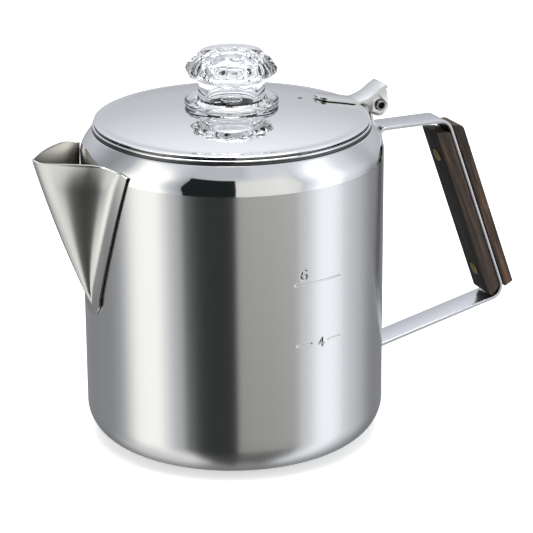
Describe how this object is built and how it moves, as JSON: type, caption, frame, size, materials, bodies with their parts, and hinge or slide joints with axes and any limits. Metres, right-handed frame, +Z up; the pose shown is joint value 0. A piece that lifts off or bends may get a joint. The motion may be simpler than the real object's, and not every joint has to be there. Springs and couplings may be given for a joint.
{
  "type": "coffee percolator",
  "caption": "Camping coffee percolator: steel pot with folded spout, strap handle with wooden grip, hinged lid, clear knob, and a pump tube with basket inside.",
  "frame": {"origin": "centre of the pot's flat base, on the pot's axis, at the surface it stands on", "axes": "+Z up along the pot's axis, +X from the pot towards the handle and hinge, -X towards the spout; the object is symmetric about the XZ plane"},
  "size_m": [0.2087, 0.12, 0.157],
  "materials": {
    "satin_steel": "satin brushed stainless steel, polished on the shoulder",
    "spout_steel": "satin stainless steel sheet",
    "strap_steel": "smooth bright stainless steel strap",
    "polished_steel": "mirror polished stainless steel",
    "pump_metal": "plain stainless steel",
    "wood": "dark oiled wood",
    "brass": "plain brass",
    "clear_plastic": "clear moulded plastic"
  },
  "bodies": {
    "pot": {"pot_body": "satin_steel", "spout": "spout_steel", "handle_strap": "strap_steel", "grip_inner": "wood", "grip_outer": "wood", "grip_rivet_upper": "brass", "grip_rivet_lower": "brass", "hinge_bracket": "polished_steel", "hinge_pin": "polished_steel"},
    "lid": {"lid": "polished_steel", "hinge_leaf": "polished_steel"},
    "knob": {"knob": "clear_plastic"},
    "pump": {"pump_tube": "pump_metal", "pump_foot": "pump_metal", "pump_collar": "pump_metal"},
    "basket": {"basket": "pump_metal"},
    "spreader": {"spreader": "pump_metal"}
  },
  "joints": [
    {"name": "lid_hinge", "type": "hinge", "parent": "pot", "child": "lid", "pos_m": [0.0627, 0, 0.1285], "axis": [0, 1, 0], "range_deg": [0, 100]},
    {"name": "knob_turn", "type": "hinge", "parent": "lid", "child": "knob", "pos_m": [0, 0, 0.1351], "axis": [0, 0, 1], "range_deg": [0, 60]},
    {"name": "pump_lift", "type": "slide", "parent": "pot", "child": "pump", "axis": [0, 0, 1], "range_m": [0, 0.004]},
    {"name": "basket_lift", "type": "slide", "parent": "pump", "child": "basket", "axis": [0, 0, 1], "range_m": [0, 0.003]},
    {"name": "spreader_lift", "type": "slide", "parent": "basket", "child": "spreader", "axis": [0, 0, 1], "range_m": [0, 0.004]}
  ]
}
